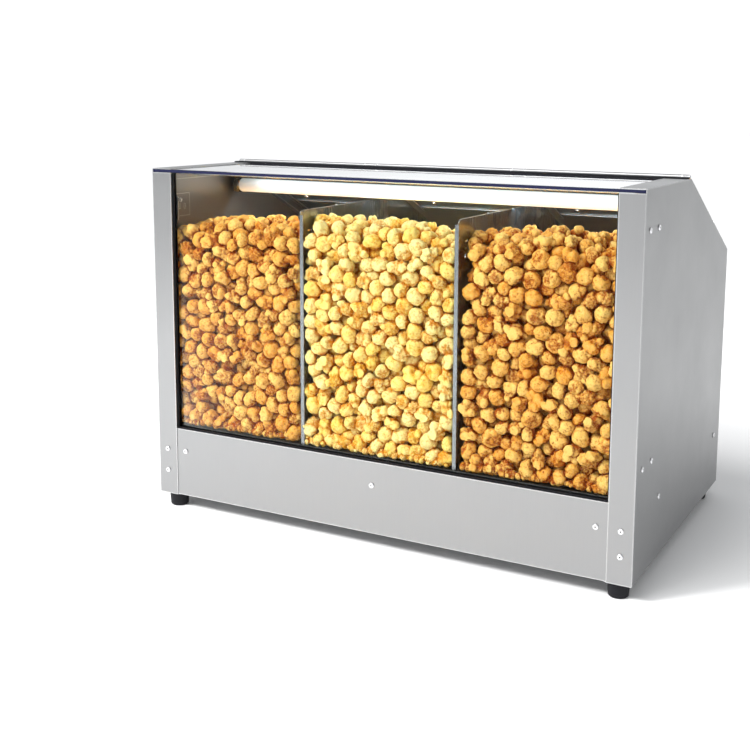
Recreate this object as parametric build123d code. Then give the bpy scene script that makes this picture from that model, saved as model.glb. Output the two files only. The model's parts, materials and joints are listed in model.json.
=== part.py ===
from build123d import *
import math
import os

# Countertop popcorn warmer: a folded stainless cabinet with three bins, a glass front and top,
# a lamp, heated floor, crumb tray and three flip-up doors on the sloped back.
#
# Modelling frame, millimetres: X from the middle of the cabinet, Y back from the front face of the
# corner posts, Z up from the underside of the sheet-metal body. Every shape is moved at the end so
# that the origin is on the surface the feet stand on, under the middle of the overall box.

# ---- driving dimensions -------------------------------------------------------------------------
WIDTH = 900.0            # across the side panels
BODY_DEPTH = 560.0       # front face of the posts to the back edge of the side panels
BODY_HEIGHT = 600.0      # underside of the body to the top of the side panels
TOP_DEPTH = 260.0        # flat top, front to back
BACK_HEIGHT = 452.0      # height of the upright back, where the slope begins
SHEET = 1.2              # side panels, base, back and rails
THIN_SHEET = 1.0         # doors and crumb tray
BEND = 1.1               # outside radius along the folded edges of a side panel
FOOT_HEIGHT = 26.0
FOOT_RADIUS = 18.0
FOOT_SEAT = 10.0         # rubber between a foot screw's head and the body
FOOT_INSET_X = 27.0      # foot centre from the side face
FOOT_INSET_Y = 22.0      # foot centre from the front face
REAR_FOOT_INSET_Y = 40.0

POST_WIDTH = 41.0        # front flange of a side panel
TOP_FLANGE_WIDTH = 41.0  # flange over the edge of the top glass
SIDE_FLANGE = 20.0       # back and slope flanges of a side panel
FOOT_FLANGE = 45.0       # bottom flange of a side panel
SILL_HEIGHT = 126.0      # top of the front base panel
DECK_TOP = 130.0         # bin floor
POST_RETURN = 13.0       # depth of the post's folded-back edge

TOP_GLASS = 6.0
FRONT_GLASS = 4.0
FRONT_GLASS_Y = 7.0      # front face of the front glass
GASKET = 2.5             # rubber between glass edge and post

DIVIDER_X = 148.0        # divider plate from the middle
DIVIDER_FRONT = 15.0
DIVIDER_TOP = 538.0
DIVIDER_FLANGE = 6.5

LIP_START = 200.0        # down the slope, from the top corner to the top edge of the fixed back
DOOR_END = 214.0         # down the slope, to the bottom edge of a door
DOOR_GAP = 2.0
DOOR_LIFT = 2.0          # underside of a door above the slope line
HINGE_ROD_RADIUS = 3.0
HINGE_CLEARANCE = 0.06
CURL_RADIUS = 4.3        # outside of a rolled hinge edge
RAIL_KNUCKLE = 24.0      # width of the rail's knuckle between two doors
HANDLE_SPACING = 194.0   # screw to screw
HANDLE_S = 180.0         # down the slope, to a door handle's bar

LAMP_Y = 240.0
LAMP_Z = 556.5
LAMP_RADIUS = 13.0
LAMP_HALF_LENGTH = 426.0

BAY_FRONT = 470.0        # front wall of the electrics bay
BAY_FLOOR = 44.0
CONTROL_Z = 86.0         # row of controls on the back
KNOB_X = 230.0
POWER_SWITCH_X = 360.0
LIGHT_SWITCH_X = 310.0
INLET_X = -350.0
TERMINAL_X = (-290.0, -230.0)

TRAY_HALF_WIDTH = 405.0
TRAY_FRONT = 24.0
TRAY_FLOOR = 6.0
TRAY_HEIGHT = 28.0
TRAY_PULL_REACH = 20.0

ROCKER_TILT = -10.0      # a rocker's lean in its off position, degrees

SCREW_HEAD_RADIUS = 4.8
SCREW_HEAD_HEIGHT = 2.2
SCREW_RADIUS = 2.0
SCREW_HOLE_RADIUS = 2.25

# ---- derived dimensions -------------------------------------------------------------------------
SIDE = WIDTH / 2
INSIDE = SIDE - SHEET                       # inner face of a side wall
POST_INNER = SIDE - POST_WIDTH
GLASS_TOP = BODY_HEIGHT - SHEET             # top face of the top glass, under the flanges
POST_TOP = GLASS_TOP - TOP_GLASS            # the glass slides in over the posts
TOP_GLASS_BACK = TOP_DEPTH - 17.0           # back edge of the top glass and the top flanges
BATTEN_BOTTOM = POST_TOP - 20.0
BATTEN_BACK = TOP_GLASS_BACK + 0.9
BACK_OUTER = BODY_DEPTH + SHEET             # outer face of the back and control panels
CONTROL_PIVOT_Y = BACK_OUTER                # rocker pivots lie in the panel's outer face
TRAY_PLATE_Y = BACK_OUTER + 0.4
PULL_Y = TRAY_PLATE_Y + THIN_SHEET + TRAY_PULL_REACH
SLOPE_RUN = BODY_DEPTH - TOP_DEPTH
SLOPE_DROP = BODY_HEIGHT - BACK_HEIGHT
SLOPE_LENGTH = math.hypot(SLOPE_RUN, SLOPE_DROP)
DOWN = (SLOPE_RUN / SLOPE_LENGTH, -SLOPE_DROP / SLOPE_LENGTH)   # down the slope, in (y, z)
OUT = (-DOWN[1], DOWN[0])                                       # square to the slope, outwards

FRONT_Y = -(PULL_Y - SCREW_HEAD_HEIGHT) / 2
TO_ROW_FRAME = Pos(0, FRONT_Y, FOOT_HEIGHT)

# Local Y of this plane runs down the slope from the top corner, and local Z stands out of it.
SLOPE = Plane(origin=(0, TOP_DEPTH, BODY_HEIGHT), x_dir=(1, 0, 0), z_dir=(0, OUT[0], OUT[1]))
HINGE_AXIS = (TOP_DEPTH + OUT[0] * DOOR_LIFT, BODY_HEIGHT + OUT[1] * DOOR_LIFT)   # (y, z)

BINS = {
    "left": (-INSIDE, -DIVIDER_X),
    "middle": (-DIVIDER_X, DIVIDER_X),
    "right": (DIVIDER_X, INSIDE),
}
BIN_MIDDLES = (-292.0, 0.0, 292.0)          # middles of the slots and heaters under the bins

CABLE_RADIUS = 2.5
CABLE_X = -INSIDE + 5.5
DUCT_OUTSIDE = 2.0                  # gap from the cable duct to the sheet it lies along
DUCT_DEPTH = 14.0
DUCT_BACK = BODY_DEPTH - 5.5        # clear of the nuts inside the back flange
CABLE_BACK = DUCT_BACK - DUCT_DEPTH / 2


# ---- helpers ------------------------------------------------------------------------------------
def slab(x, y, z):
    """A box from its lowest and highest X, Y and Z."""
    size = [high - low for low, high in (x, y, z)]
    middle = [(low + high) / 2 for low, high in (x, y, z)]
    return Pos(*middle) * Box(*size)


def prism(outline, x):
    """A (y, z) outline drawn out along X."""
    face = Plane.YZ * make_face(Polyline(*outline, close=True))
    return Pos(x[0], 0, 0) * extrude(face, amount=x[1] - x[0])


def rod_x(y, z, x, radius):
    """A round bar along X."""
    middle = Pos((x[0] + x[1]) / 2, y, z)
    return middle * Rot(0, 90, 0) * Cylinder(radius, x[1] - x[0])


def rod_y(x, z, y, radius):
    """A round bar along Y."""
    middle = Pos(x, (y[0] + y[1]) / 2, z)
    return middle * Rot(90, 0, 0) * Cylinder(radius, y[1] - y[0])


def rod_z(x, y, z, radius):
    """A round bar along Z."""
    return Pos(x, y, (z[0] + z[1]) / 2) * Cylinder(radius, z[1] - z[0])


def on_slope(s, h):
    """The (y, z) of a point s down the slope and h above it."""
    return (TOP_DEPTH + DOWN[0] * s + OUT[0] * h, BODY_HEIGHT + DOWN[1] * s + OUT[1] * h)


def mirrored(shape):
    return mirror(shape, about=Plane.YZ)


def tube(points, radius, bend):
    """A round bar along straight runs joined by tangent arcs; bend is a radius, or one a corner."""
    path = FilletPolyline(*points, radius=bend)
    section = Plane(origin=path @ 0, z_dir=path % 0) * Circle(radius)
    return sweep(section, path=path)


def button_screw(length, nut_at=None):
    """A button-head screw seated on Z = 0 with its shank down -Z, and a nut if nut_at is given."""
    head = Pos(0, 0, SCREW_HEAD_HEIGHT / 2) * Cylinder(SCREW_HEAD_RADIUS, SCREW_HEAD_HEIGHT)
    top = head.edges().filter_by(GeomType.CIRCLE).sort_by(Axis.Z)[-1]
    head = fillet(top, SCREW_HEAD_HEIGHT * 0.8)
    head -= extrude(RegularPolygon(1.5, 6), amount=1.2).moved(Location((0, 0, SCREW_HEAD_HEIGHT - 1.2)))
    screw = head + Pos(0, 0, -length / 2) * Cylinder(SCREW_RADIUS, length)
    if nut_at is None:
        return [screw]
    nut = extrude(RegularPolygon(4.0, 6), amount=3.0) - Pos(0, 0, 1.5) * Cylinder(SCREW_RADIUS, 4)
    return [screw, Pos(0, 0, -nut_at - 3.0) * nut]


def screws_at(places, direction, length, nut_at=None):
    """Screws with their heads on the given points, facing the given way."""
    found = []
    for place in places:
        seat = Plane(origin=place, z_dir=direction)
        found += [seat * solid for solid in button_screw(length, nut_at)]
    return found


# ---- fastener places ----------------------------------------------------------------------------
POST_SCREWS = [(side * (SIDE - 20), z) for side in (-1, 1) for z in (45.0, 85.0)]
BASE_SCREWS = [(x, 85.0) for x in (-390.0, 0.0, 390.0)]
UPPER_BRACKET_SCREWS = [(25.0, 538.0), (72.0, 538.0)]
LOWER_BRACKET_SCREWS = [(30.0, 176.0), (79.0, 176.0)]
DECK_RAIL_SCREWS = [(131.0, 103.0), (514.0, 103.0)]
SIDE_SCREWS = UPPER_BRACKET_SCREWS + LOWER_BRACKET_SCREWS + DECK_RAIL_SCREWS
BACK_SCREWS = [(side * (SIDE - 11), z) for side in (-1, 1) for z in (150.0, 290.0, 430.0)]
CONTROL_SCREWS = [(side * (SIDE - 7), z) for side in (-1, 1) for z in (55.0, 117.0)]
FOOT_PLACES = [
    (side * (SIDE - FOOT_INSET_X), y)
    for side in (-1, 1)
    for y in (FOOT_INSET_Y, BODY_DEPTH - REAR_FOOT_INSET_Y)
]


# ---- casing -------------------------------------------------------------------------------------
def side_panel_right():
    """One folded sheet: wall, front post, and flanges along the top, slope, back and bottom."""
    outline = [
        (0, 0), (BODY_DEPTH, 0), (BODY_DEPTH, BACK_HEIGHT), (TOP_DEPTH, BODY_HEIGHT), (0, BODY_HEIGHT),
    ]
    narrow = (SIDE - SIDE_FLANGE, SIDE)
    panel = prism(outline, (INSIDE, SIDE))
    panel += slab((POST_INNER, SIDE), (0, SHEET), (0, POST_TOP))
    panel += slab((SIDE - TOP_FLANGE_WIDTH, SIDE), (0, TOP_GLASS_BACK), (GLASS_TOP, BODY_HEIGHT))
    panel += SLOPE * slab(narrow, (9, SLOPE_LENGTH - 2), (-SHEET, 0))
    panel += slab(narrow, (BODY_DEPTH - SHEET, BODY_DEPTH), (0, BACK_HEIGHT - 2))
    panel += slab((SIDE - FOOT_FLANGE, SIDE), (2 * SHEET, BODY_DEPTH - SHEET), (0, SHEET))
    panel = fillet(panel.faces().sort_by(Axis.X)[-1].outer_wire().edges(), BEND)
    panel += slab((POST_INNER, POST_INNER + SHEET), (SHEET / 2, POST_RETURN), (SILL_HEIGHT + 2, POST_TOP))
    for y, z in SIDE_SCREWS:
        panel -= rod_x(y, z, (INSIDE - 1, SIDE + 1), SCREW_HOLE_RADIUS)
    for x, z in POST_SCREWS:
        if x > 0:
            panel -= rod_y(x, z, (-1, SHEET + 1), SCREW_HOLE_RADIUS)
    for x, z in BACK_SCREWS + CONTROL_SCREWS:
        if x > 0:
            panel -= rod_y(x, z, (BODY_DEPTH - SHEET - 1, BODY_DEPTH + 1), SCREW_HOLE_RADIUS)
    for x, y in FOOT_PLACES:
        if x > 0:
            panel -= rod_z(x, y, (-1, SHEET + 1), SCREW_HOLE_RADIUS)
    return panel


def front_base_panel():
    """The panel under the glass, folded back at its top and bottom edges behind the posts."""
    reach = INSIDE - 0.5
    panel = slab((-reach, reach), (SHEET, 2 * SHEET), (SHEET, SILL_HEIGHT))
    panel += slab((-reach, reach), (SHEET, POST_RETURN), (SILL_HEIGHT - SHEET, SILL_HEIGHT))
    panel += slab((-reach, reach), (SHEET, 20), (SHEET, 2 * SHEET))
    for x, z in POST_SCREWS + BASE_SCREWS:
        panel -= rod_y(x, z, (0, 3 * SHEET), SCREW_HOLE_RADIUS)
    return panel


def bottom_plate():
    """The underside, resting on the bottom flanges of the side panels."""
    plate = slab((-INSIDE + 0.5, INSIDE - 0.5), (20.5, BODY_DEPTH - SHEET - 0.5), (SHEET, 2 * SHEET))
    for x, y in FOOT_PLACES:
        plate -= rod_z(x, y, (0, 4 * SHEET), SCREW_HOLE_RADIUS)
    return plate


def back_panel():
    """The upright back, folded forward along the slope up to the lip under the doors."""
    bend_s = (BACK_OUTER - TOP_DEPTH - OUT[0] * SHEET) / DOWN[0]
    outline = [
        (BODY_DEPTH, SILL_HEIGHT + 3), (BACK_OUTER, SILL_HEIGHT + 3), on_slope(bend_s, SHEET),
        on_slope(LIP_START, SHEET), on_slope(LIP_START, 0), (BODY_DEPTH, BACK_HEIGHT),
    ]
    panel = prism(outline, (-SIDE + 1, SIDE - 1))
    for x, z in BACK_SCREWS:
        panel -= rod_y(x, z, (BODY_DEPTH - 1, BACK_OUTER + 1), SCREW_HOLE_RADIUS)
    return panel


def control_panel():
    """The cover of the electrics bay, with its cut-outs and the crumb tray's slot."""
    panel = slab((-SIDE + 1, SIDE - 1), (BODY_DEPTH, BACK_OUTER), (SHEET, SILL_HEIGHT + 1))
    through = (BODY_DEPTH - 1, BACK_OUTER + 1)
    panel -= slab((-TRAY_HALF_WIDTH - 1.5, TRAY_HALF_WIDTH + 1.5), through, (TRAY_FLOOR - 1, 40))
    for x in (POWER_SWITCH_X, LIGHT_SWITCH_X):
        panel -= slab((x - 6.7, x + 6.7), through, (CONTROL_Z - 9.7, CONTROL_Z + 9.7))
    panel -= rod_y(KNOB_X, CONTROL_Z, through, 4.7)
    panel -= slab((INLET_X - 13.7, INLET_X + 13.7), through, (CONTROL_Z - 10.2, CONTROL_Z + 10.2))
    for column in range(-9, 10):
        x = column * 14.0 - 60.0
        panel -= slab((x - 1.8, x + 1.8), through, (CONTROL_Z - 16, CONTROL_Z + 16))
    for x, z in CONTROL_SCREWS:
        panel -= rod_y(x, z, through, SCREW_HOLE_RADIUS)
    return panel


# ---- glass and what holds it ---------------------------------------------------------------------
def top_glass():
    """The flat top, slid in under the top flanges from the front."""
    pane = slab((-INSIDE + 0.7, INSIDE - 0.7), (0.5, TOP_GLASS_BACK), (POST_TOP, GLASS_TOP))
    return chamfer(pane.edges().filter_by(Axis.X), 0.6)


def glass_ledge_right():
    """An angle on the side wall that the top glass slides on."""
    top = POST_TOP - 0.1
    y = (POST_RETURN + 3, LAMP_Y - 19)
    ledge = slab((INSIDE - 14, INSIDE), y, (top - SHEET, top))
    return ledge + slab((INSIDE - SHEET, INSIDE), y, (top - 16, top))


def top_glass_seal():
    """A black strip along the hinge rail that closes the gap behind the top glass."""
    x = (-INSIDE + 1, INSIDE - 1)
    front = TOP_GLASS_BACK + 0.2
    foot = slab(x, (front, front + 2.8), (POST_TOP, BODY_HEIGHT))
    return foot + slab(x, (front, front + 11.5), (BODY_HEIGHT, BODY_HEIGHT + 2.2))


def front_glass():
    """The tall pane behind the posts."""
    edge = POST_INNER - 1.2
    return slab(
        (-edge, edge),
        (FRONT_GLASS_Y, FRONT_GLASS_Y + FRONT_GLASS),
        (SILL_HEIGHT + 2, POST_TOP - 0.5),
    )


def glass_gasket():
    """One U of black channel rubber round the sides and bottom edge of the front glass."""
    front, back = FRONT_GLASS_Y - 3, FRONT_GLASS_Y + FRONT_GLASS + 1.5
    outer, inner = POST_INNER - 0.1, POST_INNER - 0.1 - GASKET
    bottom, top = SILL_HEIGHT, POST_TOP - 0.5
    gasket = slab((-outer, outer), (front, back), (bottom, top))
    gasket -= slab((-inner, inner), (front - 1, back + 1), (bottom + GASKET, top + 1))
    return gasket - front_glass()


def glass_brackets():
    """Four angles that hold the front glass against the posts, two on each side wall."""
    found = []
    for (y, z), low, high in ((UPPER_BRACKET_SCREWS[0], 30, 12), (LOWER_BRACKET_SCREWS[0], 18, 18)):
        back = POST_RETURN + 0.2
        plate = slab((INSIDE - SHEET, INSIDE), (back, 101), (z - low, z + high))
        plate += slab((POST_INNER - 5, INSIDE), (back, back + SHEET), (z - low, z + high))
        for slot_y in (72.0, 86.0):
            plate -= slab((INSIDE - 3, INSIDE + 1), (slot_y - 2, slot_y + 2), (z - 16, z - 8))
        screws = UPPER_BRACKET_SCREWS if low > high else LOWER_BRACKET_SCREWS
        for screw_y, screw_z in screws:
            plate -= rod_x(screw_y, screw_z, (INSIDE - 3, INSIDE + 1), SCREW_HOLE_RADIUS)
        found += [plate, mirrored(plate)]
    return found


# ---- bins ---------------------------------------------------------------------------------------
def divider_right():
    """A plate between two bins, with a front flange, a rolled top edge and a foot flange."""
    inner_h = -SHEET - 3.0
    back = BODY_DEPTH - 8.0
    corner_s = (back - TOP_DEPTH - OUT[0] * inner_h) / DOWN[0]
    top_s = (DIVIDER_TOP - BODY_HEIGHT - OUT[1] * inner_h) / DOWN[1]
    outline = [
        (DIVIDER_FRONT, DECK_TOP), (back, DECK_TOP), on_slope(corner_s, inner_h),
        on_slope(top_s, inner_h), (DIVIDER_FRONT, DIVIDER_TOP),
    ]
    x = (DIVIDER_X - SHEET, DIVIDER_X)
    plate = prism(outline, x)
    flange = (DIVIDER_X - DIVIDER_FLANGE, DIVIDER_X)
    plate += slab(flange, (DIVIDER_FRONT, DIVIDER_FRONT + SHEET), (DECK_TOP, DIVIDER_TOP - 8))
    plate += slab(flange, (60, BODY_DEPTH - 60), (DECK_TOP, DECK_TOP + SHEET))
    top_hem = slab((DIVIDER_X - 3, DIVIDER_X), (DIVIDER_FRONT + 8, on_slope(top_s, inner_h)[0] - 4),
                   (DIVIDER_TOP - 3, DIVIDER_TOP))
    plate += top_hem
    corner = slab((DIVIDER_X - 11, DIVIDER_X + 1), (DIVIDER_FRONT - 1, DIVIDER_FRONT + 8),
                  (DIVIDER_TOP - 8, DIVIDER_TOP + 1))
    plate -= corner - rod_x(DIVIDER_FRONT + 8, DIVIDER_TOP - 8, (DIVIDER_X - 12, DIVIDER_X + 2), 8)
    for slot_z in (502.0, 490.0):
        plate -= slab((DIVIDER_X - 3, DIVIDER_X + 1), (38, 50), (slot_z - 1.5, slot_z + 1.5))
    plate -= rod_x(44, 478, (DIVIDER_X - 3, DIVIDER_X + 1), SCREW_HOLE_RADIUS)
    return plate


def divider_pins():
    """Small dome-head pins on the dividers, one on each top edge and one screw by the slots."""
    found = []
    for side in (-1, 1):
        x = side * (DIVIDER_X - 1.5)
        dome = Pos(x, 133, DIVIDER_TOP) * Sphere(2.4)
        found.append(dome & slab((x - 3, x + 3), (130, 136), (DIVIDER_TOP, DIVIDER_TOP + 3)))
    found += screws_at([(-DIVIDER_X + SHEET, 44, 478)], (1, 0, 0), 5, nut_at=SHEET)
    found += screws_at([(DIVIDER_X, 44, 478)], (1, 0, 0), 5, nut_at=SHEET)
    return found


def deck_rail_front():
    """A folded rail behind the base panel that carries the front edge of the floor deck."""
    front, back = 2 * SHEET, 20.0
    top = SILL_HEIGHT - 2 * SHEET
    outline = [
        (front, 70), (front + SHEET, 70), (front + SHEET, top - SHEET), (back, top - SHEET),
        (back, DECK_TOP - SHEET), (back - SHEET, DECK_TOP - SHEET), (back - SHEET, top), (front, top),
    ]
    rail = prism(outline, (-INSIDE + 3, INSIDE - 3))
    for x, z in POST_SCREWS + BASE_SCREWS:
        rail -= rod_y(x, z, (front - 1, front + SHEET + 1), SCREW_HOLE_RADIUS)
    return rail


def deck_rail_right():
    """An angle on the side wall under the floor deck."""
    y = (60, BAY_FRONT - 5)
    top = DECK_TOP - SHEET
    rail = slab((INSIDE - SHEET, INSIDE), (60, BODY_DEPTH - 10), (92, top))
    rail += slab((INSIDE - 20, INSIDE), y, (top - SHEET, top))
    for screw_y, z in DECK_RAIL_SCREWS:
        rail -= rod_x(screw_y, z, (INSIDE - 3, INSIDE + 1), SCREW_HOLE_RADIUS)
    return rail


def floor_deck():
    """The bins' slotted floor, which lets warm air up and crumbs down."""
    deck = slab((-INSIDE + 0.7, INSIDE - 0.7), (POST_RETURN + 1.5, BODY_DEPTH - SHEET - 1),
                (DECK_TOP - SHEET, DECK_TOP))
    cuts = []
    for middle in BIN_MIDDLES:
        for column in range(-3, 4):
            for row in range(9):
                x = middle + column * 33.0
                y = 60.0 + row * 46.0
                cuts.append(slab((x - 10.5, x + 10.5), (y - 1.9, y + 1.9), (DECK_TOP - 3, DECK_TOP + 1)))
    cuts.append(rod_z(CABLE_X, CABLE_BACK, (DECK_TOP - 3, DECK_TOP + 1), CABLE_RADIUS + 0.6))
    return deck - cuts


# ---- heating and electrics ----------------------------------------------------------------------
def electrics_shroud():
    """The folded wall and floor of the bay behind the bins' heaters."""
    outline = [
        (BAY_FRONT, BAY_FLOOR), (BODY_DEPTH - 2 * SHEET, BAY_FLOOR),
        (BODY_DEPTH - 2 * SHEET, BAY_FLOOR + SHEET), (BAY_FRONT + SHEET, BAY_FLOOR + SHEET),
        (BAY_FRONT + SHEET, DECK_TOP - 2 * SHEET), (BAY_FRONT + 14, DECK_TOP - 2 * SHEET),
        (BAY_FRONT + 14, DECK_TOP - SHEET), (BAY_FRONT, DECK_TOP - SHEET),
    ]
    shroud = prism(outline, (-INSIDE + 2, INSIDE - 2))
    for points in heater_routes():
        for x, y, z in (points[0], points[-1]):
            shroud -= rod_y(x, z, (BAY_FRONT - 1, BAY_FRONT + SHEET + 1), 4.15)
    return shroud


def heater_routes():
    """The centre lines of the three U-shaped heating tubes, one under each bin."""
    z, reach, near, far = 78.0, 75.0, 80.0, BAY_FRONT + 12
    for middle in BIN_MIDDLES:
        yield [
            (middle - reach, far, z), (middle - reach, near, z),
            (middle + reach, near, z), (middle + reach, far, z),
        ]


def heater_elements():
    """The three sheathed heating tubes."""
    return [tube(points, 4.0, 35.0) for points in heater_routes()]


def element_clips():
    """Hangers under the deck, one at the front of each heating tube."""
    found = []
    for points in heater_routes():
        x = (points[0][0] + points[-1][0]) / 2
        y, z = points[1][1], points[1][2]
        hanger = slab((x - 0.75, x + 0.75), (y - 9, y + 9), (z - 9, DECK_TOP - SHEET))
        found.append(hanger - rod_x(y, z, (x - 2, x + 2), 4.0))
    return found


def terminal_block():
    """A five-pole block with a screw well at each end of every pole."""
    block = slab(TERMINAL_X, (500, 522), (BAY_FLOOR + SHEET, BAY_FLOOR + SHEET + 20))
    for pole in range(5):
        x = TERMINAL_X[0] + 6.0 + pole * 12.0
        block -= rod_z(x, 506, (BAY_FLOOR + 14, BAY_FLOOR + 30), 2.4)
        block -= rod_z(x, 516, (BAY_FLOOR + 14, BAY_FLOOR + 30), 2.4)
    return block


def lamp_driver():
    """The lamp's power supply."""
    body = slab((60, 160), (495, 530), (BAY_FLOOR + SHEET, BAY_FLOOR + SHEET + 24))
    return fillet(body.edges().filter_by(Axis.Z), 3.0)


def thermostat():
    """The capillary thermostat behind the panel, with the threaded nose its shaft turns in."""
    body = slab((KNOB_X - 22, KNOB_X + 22), (BODY_DEPTH - 32, BODY_DEPTH), (CONTROL_Z - 17, CONTROL_Z + 17))
    body = fillet(body.edges().filter_by(Axis.Y), 4.0)
    body += rod_y(KNOB_X, CONTROL_Z, (BODY_DEPTH - 1, BACK_OUTER + 5), 4.5)
    return body - rod_y(KNOB_X, CONTROL_Z, (BODY_DEPTH - 8, BACK_OUTER + 6), 3.06)


def thermostat_shaft():
    """The shaft that the knob turns in the thermostat's nose."""
    return rod_y(KNOB_X, CONTROL_Z, (BODY_DEPTH - 7, BACK_OUTER + 14), 3.0)


def thermostat_knob():
    """A fluted knob with a raised pointer bar, pushed on the thermostat's shaft."""
    base, depth, radius = BACK_OUTER + 0.8, 17.0, 18.0
    knob = rod_y(KNOB_X, CONTROL_Z, (base, base + 4), radius + 2)
    grip = rod_y(KNOB_X, CONTROL_Z, (base + 4, base + depth), radius)
    knob += fillet(grip.edges().filter_by(GeomType.CIRCLE).sort_by(Axis.Y)[-1], 2.0)
    for flute in range(20):
        angle = math.radians(flute * 18.0)
        x = KNOB_X + (radius + 0.9) * math.sin(angle)
        z = CONTROL_Z + (radius + 0.9) * math.cos(angle)
        knob -= rod_y(x, z, (base + 4.01, base + depth + 1), 1.6)
    knob += slab((KNOB_X - 1.5, KNOB_X + 1.5), (base + depth - 1, base + depth + 1.2),
                 (CONTROL_Z + 2, CONTROL_Z + radius - 3))
    knob -= rod_y(KNOB_X, CONTROL_Z, (base - 1, base + 5.2), 6.0)
    return knob - rod_y(KNOB_X, CONTROL_Z, (base, BACK_OUTER + 14), 3.0)


def switch_housing(x):
    """A snap-in rocker switch body with its bezel on the panel."""
    bezel = slab((x - 7.5, x + 7.5), (BACK_OUTER, BACK_OUTER + 2), (CONTROL_Z - 10.5, CONTROL_Z + 10.5))
    bezel = fillet(bezel.edges().filter_by(Axis.Y), 1.5)
    body = slab((x - 6.5, x + 6.5), (BODY_DEPTH - 16, BACK_OUTER), (CONTROL_Z - 9.5, CONTROL_Z + 9.5))
    body += bezel
    body -= slab((x - 5.75, x + 5.75), (BACK_OUTER - 8, BACK_OUTER + 3), (CONTROL_Z - 8.6, CONTROL_Z + 8.6))
    body -= rod_x(CONTROL_PIVOT_Y, CONTROL_Z, (x - 6.4, x + 6.4), 1.06)
    for offset in (-5.0, 5.0):
        body += slab((x - 2.4, x + 2.4), (BODY_DEPTH - 25, BODY_DEPTH - 16),
                     (CONTROL_Z + offset - 0.4, CONTROL_Z + offset + 0.4))
    return body


def switch_rocker(x):
    """A rocker lying in its off position, turned ten degrees about its pivot."""
    outline = [
        (5.2, -8.0), (3.0, 0.0), (5.2, 8.0), (2.0, 7.6), (-1.5, 6.4),
        (-4.5, 2.5), (-4.5, -2.5), (-1.5, -6.4), (2.0, -7.6),
    ]
    rocker = prism(outline, (x - 5.4, x + 5.4))
    rocker += rod_x(0, 0, (x - 6.2, x + 6.2), 1.0)
    return Pos(0, CONTROL_PIVOT_Y, CONTROL_Z) * Rot(ROCKER_TILT, 0, 0) * rocker


def power_inlet():
    """An appliance inlet: flange outside, body in the bay, and the recess a lead plugs into."""
    flange = slab((INLET_X - 15.5, INLET_X + 15.5), (BACK_OUTER, BACK_OUTER + 2.5),
                  (CONTROL_Z - 13.5, CONTROL_Z + 13.5))
    flange = fillet(flange.edges().filter_by(Axis.Y), 2.5)
    body = slab((INLET_X - 13.5, INLET_X + 13.5), (BODY_DEPTH - 20, BACK_OUTER),
                (CONTROL_Z - 10, CONTROL_Z + 10))
    recess = slab((INLET_X - 12, INLET_X + 12), (BACK_OUTER + 2.5 - 17, BACK_OUTER + 4),
                  (CONTROL_Z - 8.2, CONTROL_Z + 8.2))
    lower = recess.edges().filter_by(Axis.Y).sort_by(Axis.Z)[:2]
    return flange + body - chamfer(lower, 4.0)


def inlet_pins():
    """The inlet's three blades, in the upper part of the recess."""
    start = BACK_OUTER + 2.5 - 17
    blades = []
    for x, z in ((-7.0, 1.0), (7.0, 1.0), (0.0, 4.5)):
        blade = slab((x - 1, x + 1), (start, start + 15), (z - 2, z + 2))
        blades.append(Pos(INLET_X, 0, CONTROL_Z) * blade)
    return blades


# ---- lamp ---------------------------------------------------------------------------------------
def lamp_batten():
    """The painted channel over the tube, under the back edge of the top glass."""
    top, bottom, wall = POST_TOP - 2, BATTEN_BOTTOM, 1.0
    front, back = LAMP_Y - 18, BATTEN_BACK
    outer = [(front, top), (front, bottom + 6), (front + 9, bottom), (back, bottom), (back, top)]
    inner = [
        (front + wall, top + 1), (front + wall, bottom + 6 + wall / 2),
        (front + 9 + wall / 2, bottom + wall), (back - wall, bottom + wall), (back - wall, top + 1),
    ]
    x = (-INSIDE + 1, INSIDE - 1)
    return prism(outer, x) - prism(inner, (x[0] + wall, x[1] - wall))


def lamp_sockets():
    """The holders at the ends of the tube, hung from the batten."""
    found = []
    for side in (-1, 1):
        ends = sorted((side * (LAMP_HALF_LENGTH + 5), side * (LAMP_HALF_LENGTH + 14)))
        socket = rod_x(LAMP_Y, LAMP_Z, ends, LAMP_RADIUS + 1.5)
        found.append(socket + slab(ends, (LAMP_Y - 6, LAMP_Y + 3), (LAMP_Z, BATTEN_BOTTOM)))
    return found


def lamp_tube():
    """The hollow glass tube."""
    ends = (-LAMP_HALF_LENGTH, LAMP_HALF_LENGTH)
    return rod_x(LAMP_Y, LAMP_Z, ends, LAMP_RADIUS) - rod_x(LAMP_Y, LAMP_Z, ends, LAMP_RADIUS - 0.9)


def lamp_end_caps():
    """The metal caps of the tube, with their contact pins in the sockets."""
    found = []
    for side in (-1, 1):
        ends = sorted((side * LAMP_HALF_LENGTH, side * (LAMP_HALF_LENGTH + 5)))
        found.append(rod_x(LAMP_Y, LAMP_Z, ends, LAMP_RADIUS - 0.5))
    return found


def duct_corner(depth, y):
    """Where a line at this depth under the slope meets an upright line at this y."""
    return on_slope((y - TOP_DEPTH + OUT[0] * depth) / DOWN[0], -depth)


def duct_outline(wall, end_s, bottom):
    near, far = DUCT_OUTSIDE + wall, DUCT_OUTSIDE + DUCT_DEPTH - wall
    back, front = DUCT_BACK - wall, DUCT_BACK - DUCT_DEPTH + wall
    return [
        (back, bottom), duct_corner(near, back), on_slope(end_s, -near),
        on_slope(end_s, -far), duct_corner(far, front), (front, bottom),
    ]


def cable_duct():
    """A channel up the back corner and under the slope flange, from the bay to the lamp."""
    x, wall = (-INSIDE, -INSIDE + 12), 1.0
    channel = prism(duct_outline(0, 30, DECK_TOP), x)
    return channel - prism(duct_outline(wall, 29, DECK_TOP - 1), (x[0] - 1, x[1] - wall))


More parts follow.
